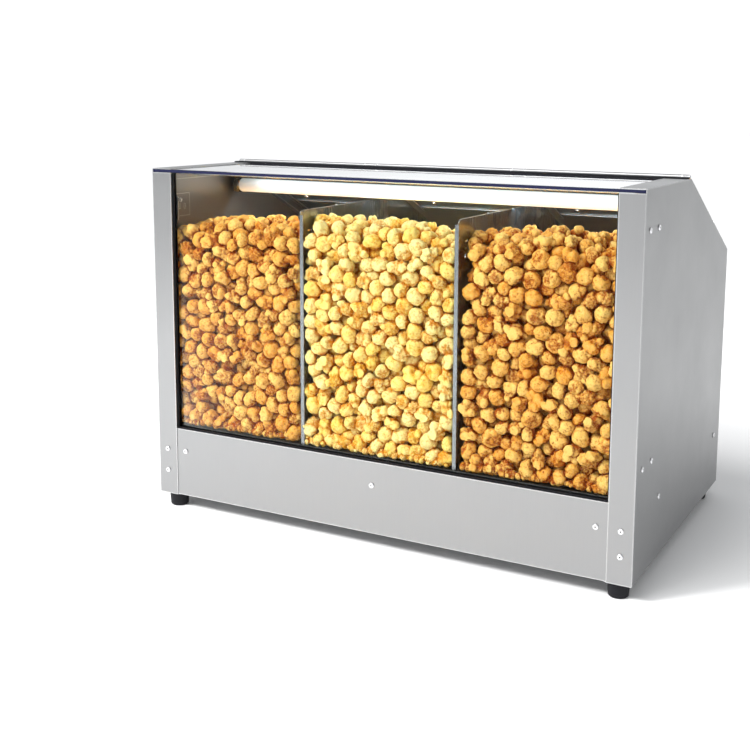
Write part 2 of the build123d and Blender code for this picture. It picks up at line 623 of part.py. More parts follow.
def lamp_cable():
    """The lamp's lead: from the terminal block, up the duct, to the back of the batten."""
    depth = DUCT_OUTSIDE + DUCT_DEPTH / 2
    bay_z, block_y, entry_z = 58.0, 511.0, 582.0
    slope_end = (BODY_HEIGHT - OUT[1] * depth - entry_z) / -DOWN[1]
    route = [
        (TERMINAL_X[0], block_y, bay_z), (-400, block_y, bay_z), (CABLE_X, CABLE_BACK, bay_z),
        (CABLE_X, *duct_corner(depth, CABLE_BACK)), (CABLE_X, *on_slope(slope_end, -depth)),
        (CABLE_X, BATTEN_BACK, entry_z),
    ]
    return tube(route, CABLE_RADIUS, [14.0, 14.0, 15.0, 20.0])


# ---- back doors ---------------------------------------------------------------------------------
def rail_knuckles():
    """The stretches of the hinge line that belong to the fixed rail."""
    half = RAIL_KNUCKLE / 2
    return [
        (-INSIDE + 2.5, -INSIDE + 2.5 + half), (-DIVIDER_X - half, -DIVIDER_X + half),
        (DIVIDER_X - half, DIVIDER_X + half), (INSIDE - 2.5 - half, INSIDE - 2.5),
    ]


def hinge_rail():
    """The top back rail: a folded strip with rolled knuckles for the doors' hinge rod."""
    x = (-INSIDE + 0.5, INSIDE - 0.5)
    front = TOP_DEPTH - 13.9
    top = BODY_HEIGHT - 0.1
    rail = slab(x, (front, TOP_DEPTH - 4.5), (top - SHEET, top))
    rail += slab((x[0] + 20, x[1] - 20), (front, front + SHEET), (LAMP_Z + LAMP_RADIUS + 3, top))
    y, z = HINGE_AXIS
    for stretch in rail_knuckles():
        rail += rod_x(y, z, stretch, CURL_RADIUS)
        rail += slab(stretch, (front, y - 2.5), (top - SHEET, top))
    return rail - rod_x(y, z, (-SIDE, SIDE), HINGE_ROD_RADIUS)


def hinge_rod():
    """The rod through all the knuckles, with domed ends."""
    y, z = HINGE_AXIS
    rod = rod_x(y, z, (-INSIDE + 0.5, INSIDE - 0.5), HINGE_ROD_RADIUS)
    return fillet(rod.edges().filter_by(GeomType.CIRCLE), 1.5)


def slope_mullions():
    """Strips over the dividers that the edges of two doors lie on."""
    found = []
    for x in (-DIVIDER_X, DIVIDER_X):
        strip = SLOPE * slab((x - 15, x + 15), (9, LIP_START + 16), (-SHEET - 1.2, -1.2))
        tab = SLOPE * slab((x - 15, x + 15), (LIP_START + 1, LIP_START + 16), (-1.2, 0))
        found.append(strip + tab)
    return found


def door_width(name):
    low, high = BINS[name]
    low = low + 2.5 if name == "left" else low + DOOR_GAP / 2
    high = high - 2.5 if name == "right" else high - DOOR_GAP / 2
    return low, high


def door(name):
    """A flip-up lid: top edge rolled round the hinge rod, bottom edge turned up as a grip."""
    low, high = door_width(name)
    h = (DOOR_LIFT, DOOR_LIFT + THIN_SHEET)
    panel = SLOPE * slab((low, high), (0, DOOR_END), h)
    y, z = HINGE_AXIS
    notch = RAIL_KNUCKLE / 2 + 0.5
    panel -= SLOPE * slab((low - 1, low + notch), (-1, 7), (h[0] - 1, h[1] + 1))
    panel -= SLOPE * slab((high - notch, high + 1), (-1, 7), (h[0] - 1, h[1] + 1))
    panel += rod_x(y, z, (low + notch, high - notch), CURL_RADIUS)
    panel += SLOPE * slab((low, high), (DOOR_END - THIN_SHEET, DOOR_END), (h[0], h[1] + 8))
    panel -= rod_x(y, z, (low - 1, high + 1), HINGE_ROD_RADIUS + HINGE_CLEARANCE)
    middle = (low + high) / 2
    for offset in (-HANDLE_SPACING / 2, HANDLE_SPACING / 2):
        hole = Pos(middle + offset, HANDLE_S, h[0]) * Cylinder(SCREW_HOLE_RADIUS, 6)
        panel -= SLOPE * hole
    return panel


def door_handle(name):
    """A bent bar handle on the door, with a screw from inside the door in each leg."""
    low, high = door_width(name)
    middle = (low + high) / 2
    base = DOOR_LIFT + THIN_SHEET
    half = HANDLE_SPACING / 2
    radius, reach = 5.0, 27.0
    route = [(middle - half, HANDLE_S, base), (middle - half, HANDLE_S, base + reach),
             (middle + half, HANDLE_S, base + reach), (middle + half, HANDLE_S, base)]
    path = FilletPolyline(*route, radius=14.0)
    bar = sweep(Plane(origin=path @ 0, z_dir=path % 0) * Circle(radius), path=path)
    found = []
    for offset in (-half, half):
        bar -= Pos(middle + offset, HANDLE_S, base + 4) * Cylinder(SCREW_RADIUS, 8)
        seat = Plane(origin=(middle + offset, HANDLE_S, DOOR_LIFT), z_dir=(0, 0, -1))
        screw = button_screw(8.0)[0]
        found.append(SLOPE * (seat * screw))
    return [SLOPE * bar] + found


# ---- crumb tray ---------------------------------------------------------------------------------
def crumb_tray():
    """The floor of a shallow open pan under the heaters."""
    x = (-TRAY_HALF_WIDTH, TRAY_HALF_WIDTH)
    return slab(x, (TRAY_FRONT, TRAY_PLATE_Y), (TRAY_FLOOR, TRAY_FLOOR + THIN_SHEET))


def tray_walls():
    """The pan's two sides and its front, welded along the edges of its floor."""
    z = (TRAY_FLOOR + THIN_SHEET, TRAY_FLOOR + TRAY_HEIGHT)
    inner = TRAY_HALF_WIDTH - THIN_SHEET
    side = slab((inner, TRAY_HALF_WIDTH), (TRAY_FRONT, TRAY_PLATE_Y), z)
    front = slab((-inner, inner), (TRAY_FRONT, TRAY_FRONT + THIN_SHEET), z)
    return [side, mirrored(side), front]


def tray_face():
    """The plate that closes the back of the pan and covers the slot it slides through."""
    reach = TRAY_HALF_WIDTH + 8
    return slab((-reach, reach), (TRAY_PLATE_Y, TRAY_PLATE_Y + THIN_SHEET), (2.5, 43))


def tray_pull():
    """A folded lip to draw the crumb tray by."""
    start, end = TRAY_PLATE_Y + THIN_SHEET, PULL_Y
    outline = [
        (start, 18), (start + SHEET, 18), (start + SHEET, 33 - SHEET), (end - SHEET, 33 - SHEET),
        (end - SHEET, 21), (end, 21), (end, 33), (start, 33),
    ]
    return prism(outline, (-70, 70))


def tray_runners():
    """Low angles on the bottom plate that guide the sides of the crumb tray."""
    x = TRAY_HALF_WIDTH + 1.0
    y = (TRAY_FRONT + 8, BODY_DEPTH - 12)
    upright = slab((x, x + SHEET), y, (2 * SHEET, 26))
    foot = slab((x, x + 8), y, (2 * SHEET, 3 * SHEET))
    shelf = slab((x - 12, x), y, (2 * SHEET, TRAY_FLOOR - 0.3))
    runner = upright + foot + shelf
    return [runner, mirrored(runner)]


# ---- feet and fasteners ---------------------------------------------------------------------------
def foot():
    """A tapered rubber foot under a bottom flange, hollow where its screw head sits."""
    body = Pos(0, 0, -FOOT_HEIGHT / 2) * Rot(180, 0, 0) * Cone(FOOT_RADIUS, FOOT_RADIUS - 2, FOOT_HEIGHT)
    rim = body.edges().filter_by(GeomType.CIRCLE).sort_by(Axis.Z)[0]
    body = fillet(rim, 4.0)
    body -= Pos(0, 0, -(FOOT_HEIGHT + FOOT_SEAT) / 2) * Cylinder(6.0, FOOT_HEIGHT - FOOT_SEAT)
    return body - Pos(0, 0, -FOOT_HEIGHT / 2) * Cylinder(SCREW_HOLE_RADIUS, FOOT_HEIGHT)


def feet():
    return [Pos(x, y, 0) * foot() for x, y in FOOT_PLACES]


def foot_screws():
    seats = [(x, y, -FOOT_SEAT) for x, y in FOOT_PLACES]
    return screws_at(seats, (0, 0, -1), 18.0, nut_at=FOOT_SEAT + 2 * SHEET)


def front_screws():
    on_posts = screws_at([(x, 0, z) for x, z in POST_SCREWS if z > 60], (0, -1, 0), 8.0, nut_at=3 * SHEET)
    low_posts = screws_at([(x, 0, z) for x, z in POST_SCREWS if z < 60], (0, -1, 0), 8.0, nut_at=2 * SHEET)
    on_base = screws_at([(x, SHEET, z) for x, z in BASE_SCREWS], (0, -1, 0), 7.0, nut_at=2 * SHEET)
    return on_posts + low_posts + on_base


def side_screws():
    right = screws_at([(SIDE, y, z) for y, z in SIDE_SCREWS], (1, 0, 0), 7.0, nut_at=2 * SHEET)
    left = screws_at([(-SIDE, y, z) for y, z in SIDE_SCREWS], (-1, 0, 0), 7.0, nut_at=2 * SHEET)
    return right + left


def rear_screws():
    places = [(x, BACK_OUTER, z) for x, z in BACK_SCREWS + CONTROL_SCREWS]
    return screws_at(places, (0, 1, 0), 6.0, nut_at=2 * SHEET)


# ---- every sub-part, by node --------------------------------------------------------------------
def build():
    nodes = {
        "side_panel_right": side_panel_right(),
        "front_base_panel": front_base_panel(),
        "bottom_plate": bottom_plate(),
        "back_panel": back_panel(),
        "control_panel": control_panel(),
        "hinge_rail": hinge_rail(),
        "hinge_rod": hinge_rod(),
        "slope_mullions": slope_mullions(),
        "top_glass": top_glass(),
        "glass_ledge_right": glass_ledge_right(),
        "top_glass_seal": top_glass_seal(),
        "front_glass": front_glass(),
        "glass_gasket": glass_gasket(),
        "glass_brackets": glass_brackets(),
        "divider_right": divider_right(),
        "divider_pins": divider_pins(),
        "deck_rail_front": deck_rail_front(),
        "deck_rail_right": deck_rail_right(),
        "floor_deck": floor_deck(),
        "electrics_shroud": electrics_shroud(),
        "heater_elements": heater_elements(),
        "element_clips": element_clips(),
        "terminal_block": terminal_block(),
        "lamp_driver": lamp_driver(),
        "thermostat": thermostat(),
        "thermostat_shaft": thermostat_shaft(),
        "thermostat_knob": thermostat_knob(),
        "power_inlet": power_inlet(),
        "inlet_pins": inlet_pins(),
        "power_switch_housing": switch_housing(POWER_SWITCH_X),
        "power_switch_rocker": switch_rocker(POWER_SWITCH_X),
        "light_switch_housing": switch_housing(LIGHT_SWITCH_X),
        "light_switch_rocker": switch_rocker(LIGHT_SWITCH_X),
        "lamp_batten": lamp_batten(),
        "lamp_sockets": lamp_sockets(),
        "lamp_tube": lamp_tube(),
        "lamp_end_caps": lamp_end_caps(),
        "cable_duct": cable_duct(),
        "lamp_cable": lamp_cable(),
        "crumb_tray": crumb_tray(),
        "tray_walls": tray_walls(),
        "tray_face": tray_face(),
        "tray_pull": tray_pull(),
        "tray_runners": tray_runners(),
        "feet": feet(),
        "foot_screws": foot_screws(),
        "front_screws": front_screws(),
        "side_screws": side_screws(),
        "rear_screws": rear_screws(),
    }
    for pair in ("side_panel", "glass_ledge", "divider", "deck_rail"):
        nodes[pair + "_left"] = mirrored(nodes[pair + "_right"])
    for name in BINS:
        nodes["door_" + name] = door(name)
        nodes["door_handle_" + name] = door_handle(name)
    return nodes


os.makedirs("parts", exist_ok=True)
for node, shape in build().items():
    solids = shape if isinstance(shape, list) else [shape]
    placed = [TO_ROW_FRAME * solid for solid in solids]
    export_step(placed[0] if len(placed) == 1 else Compound(children=placed), f"parts/{node}.step")
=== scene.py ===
import json
import math

import bmesh
import bpy
import numpy as np
from mathutils import Matrix, Vector, noise


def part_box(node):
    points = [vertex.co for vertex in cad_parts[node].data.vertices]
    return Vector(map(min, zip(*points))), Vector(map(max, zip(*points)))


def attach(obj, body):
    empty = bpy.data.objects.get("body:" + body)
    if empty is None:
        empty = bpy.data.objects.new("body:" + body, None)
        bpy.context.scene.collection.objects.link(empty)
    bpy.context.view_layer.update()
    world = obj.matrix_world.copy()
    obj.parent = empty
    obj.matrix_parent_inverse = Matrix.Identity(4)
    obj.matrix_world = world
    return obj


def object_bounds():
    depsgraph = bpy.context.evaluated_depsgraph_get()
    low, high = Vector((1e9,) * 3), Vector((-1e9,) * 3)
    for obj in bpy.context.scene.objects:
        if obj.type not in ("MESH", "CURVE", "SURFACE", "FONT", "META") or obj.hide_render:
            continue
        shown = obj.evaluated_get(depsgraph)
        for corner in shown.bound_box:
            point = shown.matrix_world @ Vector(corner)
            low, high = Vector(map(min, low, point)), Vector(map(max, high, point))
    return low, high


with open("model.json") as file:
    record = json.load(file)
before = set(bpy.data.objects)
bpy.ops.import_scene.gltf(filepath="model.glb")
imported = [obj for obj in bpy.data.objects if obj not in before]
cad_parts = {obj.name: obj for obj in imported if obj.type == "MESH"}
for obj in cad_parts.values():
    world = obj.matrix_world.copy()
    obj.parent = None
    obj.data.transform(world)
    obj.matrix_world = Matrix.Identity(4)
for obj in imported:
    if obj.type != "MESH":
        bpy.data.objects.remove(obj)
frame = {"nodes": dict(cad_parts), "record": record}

CAD_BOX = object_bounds()
NODES = frame["nodes"]
RECORD = frame["record"]

# ---------------------------------------------------------------- camera

CAMERA_PLACE = (0.8975, -1.8819, 0.7463)
CAMERA_HEADING = math.radians(27.46)
CAMERA_TILT = math.radians(-8.67)
CAMERA_ROLL = math.radians(0.42)
CAMERA_LENS = 54.56
CAMERA_SHIFT = (-0.0467, -0.1333)


def make_camera():
    camera = bpy.data.objects.new("camera", bpy.data.cameras.new("camera"))
    camera.data.lens = CAMERA_LENS
    camera.data.shift_x, camera.data.shift_y = CAMERA_SHIFT
    camera.matrix_world = (
        Matrix.Translation(CAMERA_PLACE)
        @ Matrix.Rotation(CAMERA_HEADING, 4, "Z")
        @ Matrix.Rotation(math.pi / 2 + CAMERA_TILT, 4, "X")
        @ Matrix.Rotation(CAMERA_ROLL, 4, "Z")
    )
    bpy.context.scene.collection.objects.link(camera)
    bpy.context.scene.camera = camera


# ---------------------------------------------------------------- shader helpers


class Shader:
    """A node material or world, with short calls for the nodes that the finishes share."""

    def __init__(self, name, kind="Material"):
        owners = {"Material": bpy.data.materials, "World": bpy.data.worlds}
        self.owner = owners[kind].new(name)
        self.owner.use_nodes = True
        self.tree = self.owner.node_tree
        self.tree.nodes.clear()
        self.output = self.add("Output" + kind)

    def add(self, kind, **settings):
        node = self.tree.nodes.new("ShaderNode" + kind)
        for key, value in settings.items():
            setattr(node, key, value)
        return node

    def feed(self, socket, value):
        """Sets a socket to a number or a colour, or links an output to it."""
        if isinstance(value, bpy.types.NodeSocket):
            self.tree.links.new(value, socket)
        elif isinstance(value, (tuple, list)) and len(value) == 3 and socket.type == "RGBA":
            socket.default_value = (*value, 1)
        else:
            socket.default_value = value

    def principled(self, **values):
        node = self.add("BsdfPrincipled")
        for key, value in values.items():
            self.feed(node.inputs[key.replace("_", " ")], value)
        return node

    def show(self, shader_output):
        self.feed(self.output.inputs["Surface"], shader_output)
        return self.owner

    def place(self, stretch=(1, 1, 1)):
        """The point in the object's own coordinates, stretched along each axis."""
        mapping = self.add("Mapping")
        self.feed(mapping.inputs["Vector"], self.add("TexCoord").outputs["Object"])
        mapping.inputs["Scale"].default_value = stretch
        return mapping.outputs["Vector"]

    def noise(self, vector, scale, detail=2.0, rough=0.5):
        node = self.add("TexNoise")
        self.feed(node.inputs["Vector"], vector)
        self.feed(node.inputs["Scale"], scale)
        self.feed(node.inputs["Detail"], detail)
        self.feed(node.inputs["Roughness"], rough)
        return node.outputs["Fac"]

    def spread(self, value, low, high, start=0.0, end=1.0):
        """Value from start to end becomes low to high, and stops there."""
        node = self.add("MapRange")
        for key, number in (("Value", value), ("From Min", start), ("From Max", end)):
            self.feed(node.inputs[key], number)
        self.feed(node.inputs["To Min"], low)
        self.feed(node.inputs["To Max"], high)
        return node.outputs["Result"]

    def blend(self, share, first, second, way="MIX"):
        node = self.add("Mix", data_type="RGBA", blend_type=way)
        self.feed(node.inputs["Factor"], share)
        self.feed(node.inputs[6], first)
        self.feed(node.inputs[7], second)
        return node.outputs[2]

    def math(self, operation, first, second=0.0):
        node = self.add("Math", operation=operation)
        self.feed(node.inputs[0], first)
        self.feed(node.inputs[1], second)
        return node.outputs[0]

    def hollow(self, reach, open_enough=0.8, shut=0.3, alone=False):
        """How shut in a point is by what lies within reach of it, from 0 in the open to 1 in a crevice.

        If alone, only the piece's own surface counts.
        """
        node = self.add("AmbientOcclusion", samples=6, only_local=alone)
        node.inputs["Distance"].default_value = reach
        return self.spread(node.outputs["AO"], 1, 0, shut, open_enough)

    def edge(self, radius):
        """1 along the sharp edges of a piece, to about radius from them, and 0 elsewhere."""
        node = self.add("Bevel", samples=4)
        node.inputs["Radius"].default_value = radius
        turned = self.add("VectorMath", operation="DOT_PRODUCT")
        self.feed(turned.inputs[0], node.outputs["Normal"])
        self.feed(turned.inputs[1], self.add("NewGeometry").outputs["Normal"])
        return self.spread(turned.outputs["Value"], 1, 0, 0.80, 0.985)

    def attribute(self, name):
        return self.add("Attribute", attribute_name=name).outputs["Fac"]

    def along(self, vector, direction):
        """How far a vector reaches along a direction."""
        node = self.add("VectorMath", operation="DOT_PRODUCT")
        self.feed(node.inputs[0], vector)
        node.inputs[1].default_value = direction
        return node.outputs["Value"]

    def facing(self, axis):
        """How much the surface faces along an axis of the object, from 0 to 1."""
        split = self.add("SeparateXYZ")
        self.feed(split.inputs[0], self.add("TexCoord").outputs["Normal"])
        return self.math("ABSOLUTE", split.outputs[axis])

    def bump(self, height, distance, strength=1.0):
        node = self.add("Bump")
        self.feed(node.inputs["Height"], height)
        node.inputs["Distance"].default_value = distance
        node.inputs["Strength"].default_value = strength
        return node.outputs["Normal"]


# ---------------------------------------------------------------- finishes

GRAIN_ACROSS = 2600.0
GRAIN_ALONG = 26.0
EDGE_HIGHLIGHT_WIDTH = 0.0026    # how far from a sheet's edge the painted highlight on the steel reaches
STEEL = (0.355, 0.357, 0.360)
MIRROR_MOST = 0.92       # the most that clear glass mirrors, however flatly it is looked at
LAMP_GLOW = 0.66
LAMP_DIM_END = 0.06      # length of the dimmer stretch at each end of the tube


def brushed_metal(name, colour, rough, grain=0.02, along="Z", mottle=0.02, painted_shade_axes=(), edges=0.0):
    """Sheet metal with fine brushing along one axis, cloudy handling marks and a soft gloss.

    Each of the axes in the shade list gives an axis and the factor by which the faces that look along it are
    painted darker as painted shade, and edges is how much the sheet's edges and bends are painted bright as a
    painted highlight.
    """
    shader = Shader(name)
    stretch = [GRAIN_ALONG if axis == along else GRAIN_ACROSS for axis in "XYZ"]
    brushing = shader.noise(shader.place(stretch), 1.0, detail=2)
    clouds = shader.noise(shader.place(), 9.0, detail=4, rough=0.6)
    dark = tuple(c * (1 - 2 * grain) for c in colour)
    base = shader.blend(shader.spread(brushing, 0, 1, 0.3, 0.7), dark, colour)
    cloudy = shader.spread(clouds, 1 - mottle, 1 + mottle, 0.3, 0.7)
    base = shader.blend(1.0, base, cloudy, "MULTIPLY")
    # Painted shade: faces that look along each listed axis are painted darker.
    for axis, factor in painted_shade_axes:
        facing_shade = shader.spread(shader.facing(axis), 1, factor, 0.3, 0.9)
        base = shader.blend(1.0, base, facing_shade, "MULTIPLY")
    gloss = shader.math("ADD", shader.spread(brushing, rough - 0.02, rough + 0.03, 0.3, 0.7),
                        shader.spread(clouds, -0.03, 0.04, 0.35, 0.7))
    # Painted highlight: the sheet's edges and bends are painted near white.
    if edges:
        edge_highlight = shader.edge(EDGE_HIGHLIGHT_WIDTH)
        base = shader.blend(shader.math("MULTIPLY", edge_highlight, edges), base, (0.97, 0.97, 0.97))
    body = shader.principled(
        Base_Color=base, Metallic=1.0, Roughness=gloss,
        Normal=shader.bump(brushing, 0.00003, 0.25 if grain else 0.1))
    return shader.show(body.outputs[0])


def moulded(name, colour, rough, bump_depth=0.00008, bump_scale=900.0, second=None, **extra):
    """Plastic, rubber or paint: a fine moulded grain, a little dust and uneven gloss."""
    shader = Shader(name)
    grain = shader.noise(shader.place(), bump_scale, detail=3)
    patches = shader.noise(shader.place(), 35.0, detail=4, rough=0.6)
    second = second or tuple(min(1.0, c * 1.25 + 0.01) for c in colour)
    base = shader.blend(shader.spread(patches, 0, 0.8, 0.35, 0.75), colour, second)
    base = shader.blend(shader.spread(grain, 0, 0.35, 0.4, 0.7), base, second)
    gloss = shader.spread(patches, rough - 0.06, rough + 0.1, 0.3, 0.7)
    body = shader.principled(
        Base_Color=base, Roughness=gloss, Normal=shader.bump(grain, bump_depth, 0.5), **extra)
    return shader.show(body.outputs[0])


def heater_sheath():
    """A steel heating tube, tinted straw, brown and blue where it has been hot."""
    shader = Shader("heater_sheath")
    heat = shader.noise(shader.place((4, 14, 14)), 3.0, detail=4, rough=0.6)
    ramp = shader.add("ValToRGB")
    stops = ramp.color_ramp.elements
    stops[0].position, stops[0].color = 0.3, (0.10, 0.10, 0.12, 1)
    stops[1].position, stops[1].color = 0.7, (0.30, 0.25, 0.20, 1)
    middle = stops.new(0.5)
    middle.color = (0.24, 0.15, 0.08, 1)
    shader.feed(ramp.inputs[0], heat)
    grit = shader.noise(shader.place(), 1400.0, detail=2)
    body = shader.principled(
        Base_Color=ramp.outputs[0], Metallic=0.9, Roughness=shader.spread(heat, 0.4, 0.65, 0.3, 0.7),
        Normal=shader.bump(grit, 0.00005, 0.6))
    return shader.show(body.outputs[0])


def pane(name, edge_axis, edge_colour, edge_gloss, shine, inner_shine):
    """Thin clear glass: see-through, mirroring more the flatter it is looked at, with ground cut edges.

    Edge_axis is the pane's thin direction. Shine is for the face that looks along it, and inner_shine
    for the opposite face.
    """
    shader = Shader(name)
    smears = shader.noise(shader.place((3, 3, 1)), 5.0, detail=4, rough=0.6)
    through = shader.add("BsdfTransparent")
    shader.feed(through.inputs["Color"], shader.blend(smears, (0.955, 0.975, 0.97), (0.975, 0.985, 0.98)))
    mirror = shader.principled(
        Base_Color=(0.96, 0.97, 0.97), Metallic=1.0, Roughness=shader.spread(smears, 0.015, 0.05, 0.3, 0.7))
    fresnel = shader.add("Fresnel")
    fresnel.inputs["IOR"].default_value = 1.5
    split = shader.add("SeparateXYZ")
    shader.feed(split.inputs[0], shader.add("TexCoord").outputs["Normal"])
    gain = shader.spread(split.outputs[edge_axis], inner_shine, shine, -0.5, 0.5)
    steeper = shader.math("POWER", fresnel.outputs[0], 1.6)
    share = shader.math("MINIMUM", shader.math("MULTIPLY", steeper, gain), MIRROR_MOST)
    sheet = shader.add("MixShader")
    shader.feed(sheet.inputs[0], share)
    shader.feed(sheet.inputs[1], through.outputs[0])
    shader.feed(sheet.inputs[2], mirror.outputs[0])
    grinding = shader.noise(shader.place((60, 60, 60)), 20.0, detail=3)
    edge = shader.principled(
        Base_Color=shader.blend(shader.spread(grinding, 0, 1, 0.35, 0.65), edge_colour,
                                tuple(c * 0.75 for c in edge_colour)),
        Roughness=edge_gloss, Specular_IOR_Level=0.3)
    whole = shader.add("MixShader")
    shader.feed(whole.inputs[0], shader.spread(shader.facing(edge_axis), 0, 1, 0.45, 0.55))
    shader.feed(whole.inputs[1], edge.outputs[0])
    shader.feed(whole.inputs[2], sheet.outputs[0])
    return shader.show(whole.outputs[0])


def lamp_glass():
    """A frosted white tube, glowing, a little dimmer towards its two ends."""
    shader = Shader("lamp_glass")
    low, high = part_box("lamp_tube")
    split = shader.add("SeparateXYZ")
    shader.feed(split.inputs[0], shader.add("TexCoord").outputs["Object"])
    from_middle = shader.math("ABSOLUTE", split.outputs["X"])
    glow = shader.spread(from_middle, LAMP_GLOW, LAMP_GLOW * 0.35, high.x - LAMP_DIM_END, high.x)
    frost = shader.noise(shader.place(), 700.0, detail=3)
    tint = shader.blend(shader.spread(frost, 0, 1, 0.4, 0.6), (0.90, 0.98, 1.0), (0.84, 0.95, 1.0))
    body = shader.principled(
        Base_Color=(0.42, 0.46, 0.50), Roughness=0.35, Emission_Color=tint, Emission_Strength=glow,
        Normal=shader.bump(frost, 0.00003, 0.4))
    return shader.show(body.outputs[0])


def rocker(name, colour):
    """A translucent coloured switch rocker, glossy, a little deeper in colour in soft clouds."""
    shader = Shader(name)
    cloud = shader.noise(shader.place(), 160.0, detail=2)
    base = shader.blend(shader.spread(cloud, 0, 1, 0.35, 0.65), colour, tuple(c * 0.6 for c in colour))
    body = shader.principled(
        Base_Color=base, Roughness=shader.spread(cloud, 0.14, 0.22, 0.3, 0.7), Coat_Weight=0.4,
        Coat_Roughness=0.05, Emission_Color=colour, Emission_Strength=0.25)
    return shader.show(body.outputs[0])


def popcorn(name, light, deep, burnt_and_shade):
    """Glazed popped corn: each piece a little lighter or deeper, with dark syrup and painted shade in the
    folds and crevices.
    """
    shader = Shader(name)
    blotches = shader.noise(shader.place(), 90.0, detail=3, rough=0.6)
    pores = shader.noise(shader.place(), 1300.0, detail=3, rough=0.6)
    wrinkles = shader.noise(shader.place(), 420.0, detail=2, rough=0.5)
    share = shader.math("ADD", shader.spread(shader.attribute("kernel_tint"), -0.2, 0.75),
                        shader.spread(blotches, -0.25, 0.35, 0.3, 0.7))
    base = shader.blend(shader.spread(share, 0, 1), light, deep)
    # The stain is partly syrup and blotches, and partly painted shade from folds, crowding and crevices.
    stain_and_shade = shader.math("ADD", shader.attribute("kernel_syrup"),
                        shader.spread(blotches, -0.15, 0.2, 0.35, 0.75))
    stain_and_shade = shader.math("ADD", stain_and_shade, shader.spread(wrinkles, 0.32, -0.05, 0.34, 0.5))
    # Painted shade: crevices that the piece's own surface shuts in are darkened towards the burnt colour.
    stain_and_shade = shader.math("ADD", stain_and_shade, shader.math("MULTIPLY", shader.hollow(0.010, alone=True), 0.8))
    base = shader.blend(shader.spread(stain_and_shade, 0, 0.94, 0.2, 1.1), base, burnt_and_shade)
    base = shader.blend(shader.spread(pores, 0.25, 0, 0.3, 0.55), base, burnt_and_shade)
    relief = shader.math("ADD", wrinkles, shader.math("MULTIPLY", pores, 0.4))
    body = shader.principled(
        Base_Color=base, Roughness=shader.spread(pores, 0.34, 0.5, 0.3, 0.7), Specular_IOR_Level=0.10,
        Coat_Weight=shader.spread(stain_and_shade, 0.62, 0.0, 0.1, 0.5), Coat_Roughness=0.24,
        Subsurface_Weight=0.08, Subsurface_Radius=(0.005, 0.0025, 0.001), Subsurface_Scale=1.0,
        Normal=shader.bump(relief, 0.0022, 0.75))
    return shader.show(body.outputs[0])


def screw_head():
    """A bright button head, painted dark as shade in its socket and round its edge."""
    shader = Shader("screw_head")
    turning = shader.noise(shader.place(), 900.0, detail=3)
    bright = shader.blend(shader.spread(turning, 0, 1, 0.35, 0.65), (0.90, 0.90, 0.91), (0.78, 0.78, 0.80))
    # Painted shade: the socket and the rim where the head meets the sheet are painted near black.
    base = shader.blend(shader.hollow(0.0022, 0.9, 0.45), bright, (0.02, 0.02, 0.022))
    body = shader.principled(
        Base_Color=base, Metallic=0.85, Roughness=shader.spread(turning, 0.24, 0.36, 0.3, 0.7),
        Normal=shader.bump(turning, 0.00005, 0.4))
    return shader.show(body.outputs[0])


def finish_frame():
    """Every CAD node gets the finish of its material slot, or its own where one slot isn't enough."""
    # Painted shade on the faces that look along X, and a painted highlight on the sheet edges.
    steel = brushed_metal("brushed_steel", STEEL, 0.36, painted_shade_axes=[("X", 0.86)], edges=0.9)
    finishes = {
        "brushed_steel": steel,
        "polished_steel": brushed_metal("polished_steel", (0.74, 0.745, 0.76), 0.16, grain=0.02),
        "clear_glass": pane("front_glass", "Y", (0.86, 0.92, 0.90), 0.3, 0.3, 0.3),
        "lamp_glass": lamp_glass(),
        "white_paint": moulded("white_paint", (0.34, 0.37, 0.35), 0.4, second=(0.39, 0.42, 0.40)),
        "black_rubber": moulded("black_rubber", (0.006, 0.006, 0.008), 0.6, 0.0001, 1200.0,
                                second=(0.014, 0.014, 0.017), Specular_IOR_Level=0.2),
        "heater_sheath": heater_sheath(),
        "black_plastic": moulded("black_plastic", (0.018, 0.018, 0.02), 0.38, second=(0.035, 0.035, 0.038)),
        "grey_plastic": moulded("grey_plastic", (0.52, 0.52, 0.50), 0.45),
        "red_rocker": rocker("red_rocker", (0.62, 0.03, 0.02)),
        "green_rocker": rocker("green_rocker", (0.03, 0.42, 0.09)),
        "blade_brass": brushed_metal("blade_brass", (0.78, 0.62, 0.32), 0.22, grain=0.03),
        "cable_sheath": moulded("cable_sheath", (0.74, 0.74, 0.71), 0.5, second=(0.8, 0.8, 0.77)),
    }
    for part in RECORD["subparts"]:
        give_material(NODES[part["node"]], finishes[part["material_slot"]])
    # The top pane's cut edges are painted dark navy: painted shade and a painted dark reflection along its
    # front edge.
    give_material(NODES["top_glass"], pane("top_glass", "Z", (0.010, 0.012, 0.045), 0.2, 3.8, 0.2))
    # Painted shade: the dividers' faces that look along Y are painted darker.
    polished = brushed_metal("polished_sheet", (0.46, 0.47, 0.49), 0.26, grain=0.03, painted_shade_axes=[("Y", 0.6)])
    for name in ("divider_left", "divider_right"):
        give_material(NODES[name], polished)
    heads = screw_head()
    for name in ("front_screws", "side_screws", "rear_screws"):
        give_material(NODES[name], heads)


def give_material(piece, material):
    piece.data.materials.clear()
    piece.data.materials.append(material)


# ---------------------------------------------------------------- popped corn

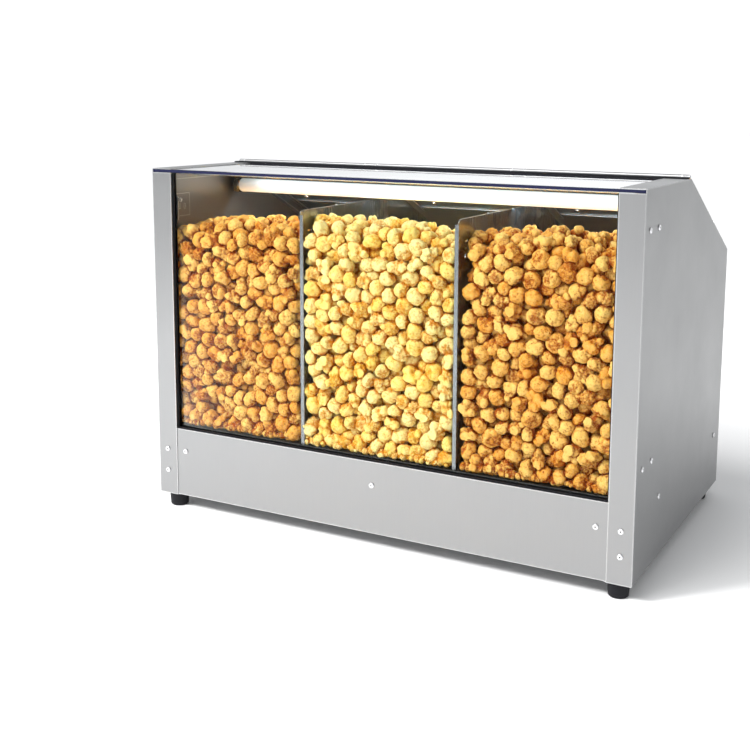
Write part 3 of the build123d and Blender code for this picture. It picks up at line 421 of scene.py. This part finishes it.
KERNEL = 0.0134          # radius of a middling piece of popped corn
KERNEL_SPREAD = (0.84, 1.15)
LAYERS = 2.2             # how many kernels deep the heap is made before its core
PACKING = 0.76
SETTLING_STEPS = 60
PIECE_KERNELS = 150
ROUND_SHAPES, OPEN_SHAPES = 10, 4
FINE_STEPS, PLAIN_STEPS = 4, 3   # how often the ball under a kernel is divided
FINE_DEPTH = 2.4         # in kernel radii, how deep the kernels are made in full detail
FOUR_BALLS = 16.76       # volume of the balls in one cell of a close-packed lattice, for radius 1
SNUG = 0.95              # share of two radii at which two kernels touch
CRUMB_GAPS = (0.0082, 0.0107)
CRUMB_SIZES = (0.0042, 0.0068)
GLASS_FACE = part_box("front_glass")[1].y
LIP_LEVEL = 0.211
REPOSE = math.tan(math.radians(38))
SHOULDER = (0.050, 0.042)  # how far the heap's front edge is rounded off, back and down
CORE_DEPTH = 0.036
CREVICE = 0.0062         # how far from its neighbours a kernel's skin is still painted dark, as painted shade between kernels


class Bin:
    """One bin's free space, read from the record's openings, and the heap of popcorn in it."""

    def __init__(self, side, at_left, at_right, crown, seed):
        low, high = opening(f"{side}_bin_lower")
        self.side = side
        self.low = np.array([low[0], GLASS_FACE + 0.0008, low[2]])
        self.high = np.array([high[0], high[1], max(at_left, at_right) + crown + 0.01])
        self.levels = (at_left, at_right)
        self.crown = crown
        self.rng = np.random.default_rng(seed)
        self.wave = self.rng.uniform(0, 50, 2)

    def surface(self, x, y):
        """The heap's height over each point: rounded off behind the glass, then falling to the back lip."""
        share = np.clip((x - self.low[0]) / (self.high[0] - self.low[0]), 0, 1)
        level = self.levels[0] + (self.levels[1] - self.levels[0]) * share
        level = level + self.crown * np.sin(np.pi * share) * np.clip((y - self.low[1]) / 0.06, 0, 1)
        level = level + 0.006 * np.sin(x * 37 + self.wave[0]) * np.cos(y * 41 + self.wave[1])
        round_off = 1 - np.clip((y - self.low[1]) / SHOULDER[0], 0, 1)
        level = level - SHOULDER[1] * (1 - np.sqrt(1 - round_off**2))
        return np.minimum(level, LIP_LEVEL + (self.high[1] - y) * REPOSE)

    def depth(self, places):
        """How deep each point lies under the heap's front face or its top."""
        x, y, z = places.T
        top = self.surface(x, y)
        falling = top < self.surface(x, y - 0.01) - 0.004
        return np.minimum(y - self.low[1], (top - z) * np.where(falling, math.cos(math.atan(REPOSE)), 1.0))


def opening(name):
    return next(o["box_m"] for o in RECORD["physics"]["openings"] if o["name"] == name)


def ball(steps):
    """Unit directions and triangles of an evenly divided ball."""
    mesh = bmesh.new()
    bmesh.ops.create_icosphere(mesh, subdivisions=steps, radius=1.0)
    mesh.verts.ensure_lookup_table()
    points = np.array([v.co for v in mesh.verts])
    faces = np.array([[v.index for v in f.verts] for f in mesh.faces])
    mesh.free()
    return points, faces


def fractal(points, scale, seed, octaves=3):
    offset = Vector((seed * 7.3, seed * 3.1, seed * 5.7))
    return np.array([noise.fractal(Vector(p) * scale + offset, 1.0, 2.0, octaves) for p in points])


def lobed(directions, lobes, sharpness):
    """A union of balls, softened where they meet, and how close each point is to such a fold."""
    reach = []
    for centre, radius in lobes:
        along = directions @ centre
        inside = radius**2 - centre @ centre + along**2
        reach.append(np.where(inside > 0, along + np.sqrt(np.maximum(inside, 0)), 0.05))
    reach = np.array(reach)
    soft = np.log(np.exp(reach * sharpness).sum(0)) / sharpness
    ordered = np.sort(reach, 0)
    return soft, 1 - np.clip((ordered[-1] - ordered[-2]) / 0.10, 0, 1)


def knobbed(directions, rng, count):
    """Low knobs all over a ball, from 0 to 1 high, and how close each point is to a crease between them."""
    knobs = np.array([random_direction(rng) for _ in range(count)])
    apart = np.sort(np.arccos(np.clip(directions @ knobs.T, -1, 1)), 1)
    size = 2.1 / math.sqrt(count)
    crease = 1 - np.clip((apart[:, 1] - apart[:, 0]) / (0.42 * size), 0, 1)
    return 1 - np.clip(apart[:, 0] / size, 0, 1) ** 2, crease


def random_direction(rng):
    v = rng.normal(size=3)
    return v / np.linalg.norm(v)


def mushroom(directions, rng, seed):
    """A round, closed piece: a dome of low knobs and wrinkles over a small, torn underside."""
    lobes = [(np.zeros(3), 0.88)]
    for _ in range(4):
        lobes.append((random_direction(rng) * rng.uniform(0.10, 0.24), rng.uniform(0.76, 0.85)))
    reach, fold = lobed(directions, lobes, 30.0)
    rise, crease = knobbed(directions, rng, rng.integers(22, 34))
    under = np.clip((fractal(directions, 2.5, seed + 9) * 0.2 - directions[:, 2] - 0.66) / 0.16, 0, 1)
    tatters, gaps = knobbed(directions, rng, 46)
    wrinkle = 1 - np.clip(np.abs(fractal(directions, 2.4, seed + 40)) / 0.10, 0, 1)
    reach = reach + 0.065 * rise * (1 - under) - 0.05 * crease - 0.04 * wrinkle
    reach = reach + under * (0.20 * tatters - 0.24) + 0.02 * fractal(directions, 6.0, seed)
    # Darker in creases, wrinkles and folds, partly syrup and partly painted shade, and on the torn underside.
    syrup_and_shade = 0.5 * crease**2 + 0.5 * wrinkle + 0.2 * fold**2 + under * (0.45 + 0.5 * gaps)
    return reach, np.clip(syrup_and_shade, 0, 1)


def butterfly(directions, rng, seed):
    """An open, ragged piece: several knobbly lobes bursting out of a middle, with hollows between."""
    lobes = [(np.zeros(3), 0.55)]
    for _ in range(rng.integers(5, 8)):
        lobes.append((random_direction(rng) * rng.uniform(0.48, 0.68), rng.uniform(0.28, 0.46)))
    reach, fold = lobed(directions, lobes, 26.0)
    rise, crease = knobbed(directions, rng, 44)
    reach = reach + 0.10 * rise - 0.05 * crease + 0.06 * fractal(directions, 3.0, seed)
    hollow = np.clip((0.84 - reach) / 0.24, 0, 1)
    # Darker in the hollows between lobes and in folds and creases: partly syrup, partly painted shade.
    return reach, np.clip(0.35 * fold**2 + 0.45 * crease**2 + 0.6 * hollow, 0, 1)


def kernel_shapes(steps, rng):
    """Kernels to turn and resize: points of middling radius 1, the syrup and painted shade on each point, and
    triangles.
    """
    directions, faces = ball(steps)
    shapes = []
    for index in range(ROUND_SHAPES + OPEN_SHAPES):
        make = mushroom if index < ROUND_SHAPES else butterfly
        reach, syrup_and_shade = make(directions, rng, index + 1)
        squeeze = np.array([1.0, rng.uniform(0.90, 1.0), rng.uniform(0.84, 0.97)])
        points = directions * reach[:, None] * squeeze
        points = points - points.mean(0)
        shapes.append((points / np.linalg.norm(points, axis=1).mean(), syrup_and_shade))
    return shapes, faces


def turns(count, rng):
    """Random rotation matrices."""
    q = rng.normal(size=(count, 4))
    w, x, y, z = (q / np.linalg.norm(q, axis=1)[:, None]).T
    return np.array([
        [1 - 2 * (y * y + z * z), 2 * (x * y - z * w), 2 * (x * z + y * w)],
        [2 * (x * y + z * w), 1 - 2 * (x * x + z * z), 2 * (y * z - x * w)],
        [2 * (x * z - y * w), 2 * (y * z + x * w), 1 - 2 * (x * x + y * y)],
    ]).transpose(2, 0, 1)


def scatter(low, high, rng):
    """Points spread evenly but not in rows: a turned close-packed lattice, each point shaken a little."""
    cell = KERNEL * (FOUR_BALLS / PACKING) ** (1 / 3)
    reach = int(np.linalg.norm(high - low) / cell / 2) + 2
    steps = np.arange(-reach, reach + 1)
    corners = np.stack(np.meshgrid(steps, steps, steps), -1).reshape(-1, 1, 3)
    in_cell = np.array([(0, 0, 0), (0.5, 0.5, 0), (0.5, 0, 0.5), (0, 0.5, 0.5)])
    points = (corners + in_cell).reshape(-1, 3) * cell @ turns(1, rng)[0].T + (low + high) / 2
    points = points + rng.uniform(-0.7, 0.7, points.shape) * KERNEL
    return points[((points > low) & (points < high)).all(1)]


def settle(heap):
    """Kernels packed in the heap's outer layers, pushed apart until they lie snug."""
    shell = LAYERS * 2 * KERNEL
    places = scatter(heap.low, heap.high, heap.rng)
    depth = heap.depth(places)
    places = places[(depth > 0.3 * KERNEL) & (depth < shell)]
    count = len(places)
    radii = KERNEL * heap.rng.uniform(*KERNEL_SPREAD, count)
    for _ in range(SETTLING_STEPS):
        apart = places[:, None] - places[None]
        gap = np.sqrt((apart**2).sum(2)) + np.eye(count)
        overlap = np.maximum((radii[:, None] + radii[None]) * SNUG - gap, 0)
        np.fill_diagonal(overlap, 0)
        places = places + 0.45 * (apart / gap[..., None] * overlap[..., None]).sum(1)
        places = np.clip(places, heap.low + radii[:, None], heap.high - radii[:, None])
        top = heap.surface(places[:, 0], places[:, 1]) - radii
        places[:, 2] = np.maximum(np.minimum(places[:, 2], top), heap.low[2] + radii)
        push = np.maximum(heap.depth(places) - shell, 0) * 0.5
        by_front = places[:, 1] - heap.low[1] < top + radii - places[:, 2]
        places[:, 1] -= np.where(by_front, push, 0)
        places[:, 2] += np.where(by_front, 0, push)
    return sweep_crumbs(heap, places, radii)


def sweep_crumbs(heap, places, radii):
    """Adds the small broken pieces that lie along the foot of the glass."""
    first, last = heap.low[0] + 0.007, heap.high[0] - 0.007
    x = np.concatenate([np.arange(first, last, gap) for gap in CRUMB_GAPS])
    size = heap.rng.uniform(*CRUMB_SIZES, len(x))
    deeper = heap.rng.uniform(0, 0.007, len(x))
    crumbs = np.stack([x, heap.low[1] + size + deeper, heap.low[2] + size * 0.9 + deeper * 0.4], 1)
    return np.concatenate([places, crumbs]), np.concatenate([radii, size])


def make_piece(name, points, faces, attributes, material, smooth=True):
    """A mesh piece that rides on the cabinet, from arrays."""
    mesh = bpy.data.meshes.new(name)
    mesh.vertices.add(len(points))
    mesh.vertices.foreach_set("co", points.astype(np.float32).ravel())
    mesh.loops.add(faces.size)
    mesh.loops.foreach_set("vertex_index", faces.astype(np.int32).ravel())
    mesh.polygons.add(len(faces))
    mesh.polygons.foreach_set("loop_start", np.arange(0, faces.size, faces.shape[1], dtype=np.int32))
    mesh.update(calc_edges=True)
    mesh.polygons.foreach_set("use_smooth", np.full(len(faces), smooth))
    for key, values in attributes.items():
        mesh.attributes.new(key, "FLOAT", "POINT").data.foreach_set("value", values.astype(np.float32))
    mesh.validate()
    piece = bpy.data.objects.new(name, mesh)
    bpy.context.scene.collection.objects.link(piece)
    mesh.materials.append(material)
    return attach(piece, "cabinet")


def make_core(heap, material):
    """The lumpy inside of the heap, behind the kernels that are made one by one, painted dark brown as
    painted shade.
    """
    across = np.linspace(heap.low[0] + 0.006, heap.high[0] - 0.006, 48)
    front, back, floor = heap.low[1] + CORE_DEPTH, heap.high[1] - 0.02, heap.low[2] + 0.004
    up, along = 56, 71
    rise, run = np.linspace(0, 1, up), np.linspace(0, 1, along + 1)[1:]
    share = np.concatenate([rise, np.ones(along)])
    y = np.concatenate([np.full(up, front), front + (back - front) * run])
    rings = []
    for x in across:
        top = np.maximum(heap.surface(x, y) - CORE_DEPTH, floor + 0.004)
        ring = np.stack([np.full(up + along, x), y, floor + (top - floor) * share], 1)
        lumps = 0.007 * fractal(ring, 60.0, 3)
        ring[:up, 1] -= lumps[:up]
        ring[up:, 2] += lumps[up:]
        rings.append(np.concatenate([ring, [(x, back, floor)]]))
    size = len(rings[0])
    points = np.concatenate([*rings, [rings[0].mean(0)], [rings[-1].mean(0)]])
    here = np.arange(size)
    after = (here + 1) % size
    faces = []
    for row in range(len(rings) - 1):
        low, high = row * size, (row + 1) * size
        faces.append(np.stack([low + here, high + here, high + after], 1))
        faces.append(np.stack([low + here, high + after, low + after], 1))
    last, first_hub = (len(rings) - 1) * size, len(points) - 2
    faces.append(np.stack([here, after, np.full(size, first_hub)], 1))
    faces.append(np.stack([last + after, last + here, np.full(size, first_hub + 1)], 1))
    # The core's colour is painted shade: the deepest tint and nearly full syrup colour.
    attributes = {"kernel_tint": np.ones(len(points)), "kernel_syrup": np.full(len(points), 0.95)}
    make_piece(f"popcorn_{heap.side}_core", points, np.concatenate(faces), attributes, material)


def crowding(points, index, places, radii):
    """How close each point of a kernel lies to the kernels around it, from 0 to 1."""
    apart = np.linalg.norm(places - places[index], axis=1)
    around = np.flatnonzero((apart > 0) & (apart < radii + radii[index] + CREVICE))
    if not len(around):
        return np.zeros(len(points))
    gaps = np.linalg.norm(points[:, None] - places[around][None], axis=2) - radii[around]
    return (1 - np.clip(gaps.min(1) / CREVICE, 0, 1)) ** 1.3


def pour(heap, fine, plain, material):
    """Makes a bin's popcorn: detailed kernels where they show, plainer ones behind them, and the core."""
    rng = heap.rng
    places, radii = settle(heap)
    depth = heap.depth(places)
    spins = turns(len(places), rng)
    kinds = rng.integers(0, len(fine[0]), len(places))
    tints = rng.uniform(0, 1, len(places))
    for label, (shapes, faces), chosen in (
        ("outer", fine, np.flatnonzero(depth < FINE_DEPTH * KERNEL)),
        ("inner", plain, np.flatnonzero(depth >= FINE_DEPTH * KERNEL)),
    ):
        chosen = chosen[np.argsort(places[chosen, 1], kind="stable")]
        room = PIECE_KERNELS * (1 if label == "outer" else 4)
        for number, start in enumerate(range(0, len(chosen), room)):
            group = chosen[start:start + room]
            kernels = [shapes[kinds[i]][0] @ spins[i].T * radii[i] + places[i] for i in group]
            points = np.concatenate(kernels)
            syrup_and_shade = np.concatenate([
                # Painted shade: a kernel's skin is darkened where it crowds against its neighbours.
                shapes[kinds[i]][1] + 0.62 * crowding(kernel, i, places, radii)
                for i, kernel in zip(group, kernels)])
            size = len(shapes[0][0])
            triangles = (faces[None] + np.arange(len(group))[:, None, None] * size).reshape(-1, 3)
            points[:, :2] = np.clip(points[:, :2], heap.low[:2], heap.high[:2])
            points[:, 2] = np.maximum(points[:, 2], heap.low[2])
            make_piece(
                f"popcorn_{heap.side}_{label}_{number + 1}", points, triangles,
                {"kernel_tint": np.repeat(tints[group], size), "kernel_syrup": syrup_and_shade}, material)
    make_core(heap, material)


def fill_bins():
    rng = np.random.default_rng(11)
    fine, plain = kernel_shapes(FINE_STEPS, rng), kernel_shapes(PLAIN_STEPS, rng)
    caramel = popcorn("caramel_corn", (1.0, 0.63, 0.16), (0.88, 0.36, 0.035), (0.32, 0.046, 0.002))
    butter = popcorn("butter_corn", (1.0, 0.85, 0.35), (1.0, 0.68, 0.11), (0.66, 0.23, 0.006))
    pour(Bin("left", 0.522, 0.532, 0.012, 3), fine, plain, caramel)
    pour(Bin("middle", 0.550, 0.534, 0.010, 4), fine, plain, butter)
    pour(Bin("right", 0.540, 0.536, 0.014, 5), fine, plain, caramel)


# ---------------------------------------------------------------- printed marks

INK_THICKNESS = 0.00008


def ring_parts(centre, radius, start, end, width_start, width_end, count):
    """Quads along an arc round centre, clockwise from the top as the operator sees it, changing in width."""
    parts = []
    angles = np.linspace(start, end, count + 1)
    widths = np.linspace(width_start, width_end, count + 1)
    for first, second, near, far in zip(angles, angles[1:], widths, widths[1:]):
        parts.append([
            (centre[0] - math.sin(angle) * (radius + out), centre[1] + math.cos(angle) * (radius + out))
            for angle, out in ((first, 0), (first, near), (second, far), (second, 0))
        ])
    return parts


def print_marks():
    """Ink on the control panel: heat marks round the knob, and on and off signs by the switches."""
    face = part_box("control_panel")[1].y
    low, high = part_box("thermostat_knob")
    knob = ((low.x + high.x) / 2, (low.z + high.z) / 2)
    quads = ring_parts(knob, 0.0225, math.radians(12), math.radians(270), 0.0002, 0.0024, 60)
    for mark in range(10):
        middle = math.radians(mark * 30)
        half = 0.00045 / 0.027
        quads += ring_parts(knob, 0.0258, middle - half, middle + half, 0.0030, 0.0030, 1)
    for node in ("power_switch_housing", "light_switch_housing"):
        low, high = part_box(node)
        x, top, bottom = (low.x + high.x) / 2, high.z + 0.0050, low.z - 0.0050
        quads.append([(x - 0.0005, top - 0.002), (x + 0.0005, top - 0.002), (x + 0.0005, top + 0.002),
                      (x - 0.0005, top + 0.002)])
        quads += ring_parts((x, bottom), 0.0014, 0, 2 * math.pi, 0.0007, 0.0007, 24)
    box_faces = np.array([(0, 3, 2, 1), (4, 5, 6, 7), (0, 1, 5, 4), (1, 2, 6, 5), (2, 3, 7, 6), (3, 0, 4, 7)])
    points, faces = [], []
    for quad in quads:
        faces.append(box_faces + len(points))
        points += [(x, face, z) for x, z in quad] + [(x, face + INK_THICKNESS, z) for x, z in quad]
    ink = moulded("panel_ink", (0.02, 0.02, 0.025), 0.5, bump_depth=0.00002, bump_scale=2500.0)
    make_piece("panel_marks", np.array(points), np.concatenate(faces), {}, ink, smooth=False)


# ---------------------------------------------------------------- stage

FLOOR_SIZE = 60
SEEN_WORLD = 1.1         # brightness of the backdrop that the camera sees
WORLD = 0.58             # brightness of the studio all round, as it lights the cabinet
WORLD_PARTS = (          # direction, how nearly along it the change starts and is whole, and the change
    ((0.0, -1.0, 0.0), 0.6, 1.0, 0.12),
    ((-1.0, 0.0, 0.0), 0.3, 0.8, -0.22),
    ((-0.3, 0.95, 0.0), 0.75, 0.98, 0.55),
    ((0.97, -0.2, -0.1), 0.7, 1.0, 0.25),
)
SUN = 2.1
SUN_PLACE = (-1.4, -2.0, 3.6)
SUN_WIDTH = math.radians(38)
KEY = 118.0
KEY_PLACE = (-1.6, -2.2, 2.3)
KEY_SIZE = 0.8
LAMP_POWER = 7.4
LAMP_BACK = 4.2
LAMP_LIGHT_WIDTH = 0.024


def make_floor():
    bpy.ops.mesh.primitive_grid_add(x_subdivisions=8, y_subdivisions=8, size=FLOOR_SIZE)
    floor = bpy.context.object
    floor.name = "floor"
    shader = Shader("floor")
    speckle = shader.noise(shader.place(), 3.0, detail=3)
    body = shader.principled(
        Base_Color=shader.blend(speckle, (0.95, 0.95, 0.95), (0.97, 0.97, 0.97)), Roughness=0.7,
        Specular_IOR_Level=0.1)
    give_material(floor, shader.show(body.outputs[0]))


def put_light(name, kind, place, target, energy, **settings):
    data = bpy.data.lights.new(name, kind)
    data.energy = energy
    for key, value in settings.items():
        setattr(data, key, value)
    light = bpy.data.objects.new(name, data)
    light.location = place
    light.rotation_euler = (Vector(target) - Vector(place)).to_track_quat("-Z", "Y").to_euler()
    bpy.context.scene.collection.objects.link(light)
    return light


def light_lamp():
    """The tube's light, down on the corn and back on the walls, as the glowing glass alone is too dim."""
    low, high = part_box("lamp_tube")
    middle = (low + high) / 2
    ways = (
        ("lamp_down", 0.004, -0.12, LAMP_POWER, (1.0, 0.98, 0.92)),
        ("lamp_back", 0.002, 0.2, LAMP_BACK, (0.66, 0.86, 1.0)),
    )
    for name, drop, tilt, power, colour in ways:
        place = Vector((middle.x, middle.y, low.z - drop))
        light = put_light(
            name, "AREA", place, place + Vector((0, tilt, -0.25)), power, shape="RECTANGLE",
            size=(high.x - low.x) * 0.97, size_y=LAMP_LIGHT_WIDTH, color=colour)
        light.visible_camera = light.visible_transmission = False
        light.visible_glossy = name == "lamp_back"


def light_studio():
    """A white studio, brighter behind the cabinet and dimmer to its left, with a high soft sun and a key."""
    shader = Shader("studio", "World")
    way = shader.add("TexCoord").outputs["Generated"]
    strength = WORLD
    for direction, start, end, more in WORLD_PARTS:
        part = shader.spread(shader.along(way, direction), 0, more, start, end)
        strength = shader.math("ADD", strength, part)
    path = shader.add("LightPath")
    around, seen, mix = shader.add("Background"), shader.add("Background"), shader.add("MixShader")
    shader.feed(around.inputs["Color"], (0.97, 0.985, 1.0))
    shader.feed(around.inputs["Strength"], strength)
    shader.feed(seen.inputs["Color"], (1.0, 1.0, 1.0))
    shader.feed(seen.inputs["Strength"], SEEN_WORLD)
    shader.feed(mix.inputs[0], path.outputs["Is Camera Ray"])
    shader.feed(mix.inputs[1], around.outputs[0])
    shader.feed(mix.inputs[2], seen.outputs[0])
    bpy.context.scene.world = shader.show(mix.outputs[0])
    middle = (CAD_BOX[0] + CAD_BOX[1]) / 2
    put_light("sun", "SUN", SUN_PLACE, middle, SUN, angle=SUN_WIDTH)
    key = put_light(
        "key", "AREA", KEY_PLACE, middle, KEY, shape="RECTANGLE", size=KEY_SIZE, size_y=KEY_SIZE)
    key.visible_glossy = False
    bpy.context.scene.view_settings.view_transform = "Standard"


make_camera()
finish_frame()
fill_bins()
print_marks()
make_floor()
light_studio()
light_lamp()
